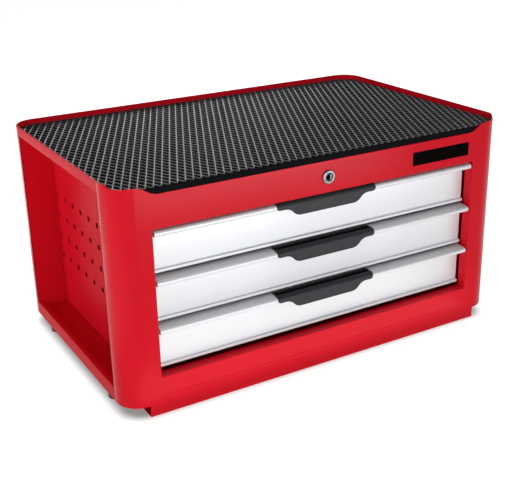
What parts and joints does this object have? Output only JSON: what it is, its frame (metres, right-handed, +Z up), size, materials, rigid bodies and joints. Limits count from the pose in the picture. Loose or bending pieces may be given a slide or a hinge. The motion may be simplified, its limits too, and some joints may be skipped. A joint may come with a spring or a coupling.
{
  "type": "drawer tool chest",
  "caption": "Red sheet-steel tool chest with silver drawers on ball slides, dark grips, a tray top with a rubber mat, perforated side recesses and a central lock.",
  "frame": {"origin": "on the floor below the middle of the chest", "axes": "+X to the right and +Y to the back as seen from the front, +Z up"},
  "size_m": [0.687, 0.433, 0.353],
  "materials": {
    "red_paint": "gloss powder coat",
    "front_silver": "satin silver-white",
    "drawer_grey": "satin grey powder coat",
    "handle_plastic": "fine moulded grain",
    "mat_rubber": "ribbed matt",
    "foot_rubber": "matt",
    "lock_chrome": "polished",
    "zinc_steel": "zinc plated",
    "guide_plastic": "matt"
  },
  "bodies": {
    "cabinet": {"front_frame": "red_paint", "rear_panel": "red_paint", "left_side_panel": "red_paint", "right_side_panel": "red_paint", "base_pan": "red_paint", "top_deck": "red_paint", "top_mat": "mat_rubber", "front_plinth": "red_paint", "foot_front_left": "foot_rubber", "foot_front_right": "foot_rubber", "foot_rear_left": "foot_rubber", "foot_rear_right": "foot_rubber", "upright_front_left": "red_paint", "upright_front_right": "red_paint", "upright_rear_left": "red_paint", "upright_rear_right": "red_paint", "lock_barrel": "lock_chrome", "lock_nut": "zinc_steel", "rod_hanger": "zinc_steel", "bar_guide_upper": "guide_plastic", "bar_guide_lower": "guide_plastic", "cabinet_rail_left_1": "zinc_steel", "cabinet_rail_right_1": "zinc_steel", "cabinet_rail_left_2": "zinc_steel", "cabinet_rail_right_2": "zinc_steel", "cabinet_rail_left_3": "zinc_steel", "cabinet_rail_right_3": "zinc_steel"},
    "lock": {"lock_plug": "lock_chrome", "lock_rod": "zinc_steel"},
    "lock_bar": {"lock_bar": "zinc_steel"},
    "middle_1": {"middle_rail_left_1": "zinc_steel", "middle_rail_right_1": "zinc_steel", "ball_cages_1": "zinc_steel"},
    "drawer_1": {"drawer_box_1": "drawer_grey", "drawer_ends_1": "drawer_grey", "drawer_front_1": "front_silver", "drawer_handle_1": "handle_plastic", "drawer_catch_1": "zinc_steel", "drawer_rail_left_1": "zinc_steel", "drawer_rail_right_1": "zinc_steel"},
    "middle_2": {"middle_rail_left_2": "zinc_steel", "middle_rail_right_2": "zinc_steel", "ball_cages_2": "zinc_steel"},
    "drawer_2": {"drawer_box_2": "drawer_grey", "drawer_ends_2": "drawer_grey", "drawer_front_2": "front_silver", "drawer_handle_2": "handle_plastic", "drawer_catch_2": "zinc_steel", "drawer_rail_left_2": "zinc_steel", "drawer_rail_right_2": "zinc_steel"},
    "middle_3": {"middle_rail_left_3": "zinc_steel", "middle_rail_right_3": "zinc_steel", "ball_cages_3": "zinc_steel"},
    "drawer_3": {"drawer_box_3": "drawer_grey", "drawer_ends_3": "drawer_grey", "drawer_front_3": "front_silver", "drawer_handle_3": "handle_plastic", "drawer_catch_3": "zinc_steel", "drawer_rail_left_3": "zinc_steel", "drawer_rail_right_3": "zinc_steel"}
  },
  "joints": [
    {"name": "drawer_1_slide", "type": "slide", "parent": "cabinet", "child": "drawer_1", "axis": [0, -1, 0], "range_m": [0, 0.35]},
    {"name": "middle_1_slide", "type": "slide", "parent": "cabinet", "child": "middle_1", "axis": [0, -1, 0], "range_m": [0, 0.175]},
    {"name": "drawer_2_slide", "type": "slide", "parent": "cabinet", "child": "drawer_2", "axis": [0, -1, 0], "range_m": [0, 0.35]},
    {"name": "middle_2_slide", "type": "slide", "parent": "cabinet", "child": "middle_2", "axis": [0, -1, 0], "range_m": [0, 0.175]},
    {"name": "drawer_3_slide", "type": "slide", "parent": "cabinet", "child": "drawer_3", "axis": [0, -1, 0], "range_m": [0, 0.35]},
    {"name": "middle_3_slide", "type": "slide", "parent": "cabinet", "child": "middle_3", "axis": [0, -1, 0], "range_m": [0, 0.175]},
    {"name": "lock_turn", "type": "hinge", "parent": "cabinet", "child": "lock", "pos_m": [0, -0.2, 0.3103], "axis": [0, 1, 0], "range_deg": [0, 90]},
    {"name": "lock_bar_slide", "type": "slide", "parent": "cabinet", "child": "lock_bar", "axis": [0, 0, 1], "range_m": [0, 0.01131]}
  ],
  "couplings": [
    {"joint": "middle_1_slide", "follows": "drawer_1_slide", "ratio": 0.5},
    {"joint": "middle_2_slide", "follows": "drawer_2_slide", "ratio": 0.5},
    {"joint": "middle_3_slide", "follows": "drawer_3_slide", "ratio": 0.5},
    {"joint": "lock_turn", "follows": "lock_bar_slide", "rad_per_m": 138.84}
  ]
}
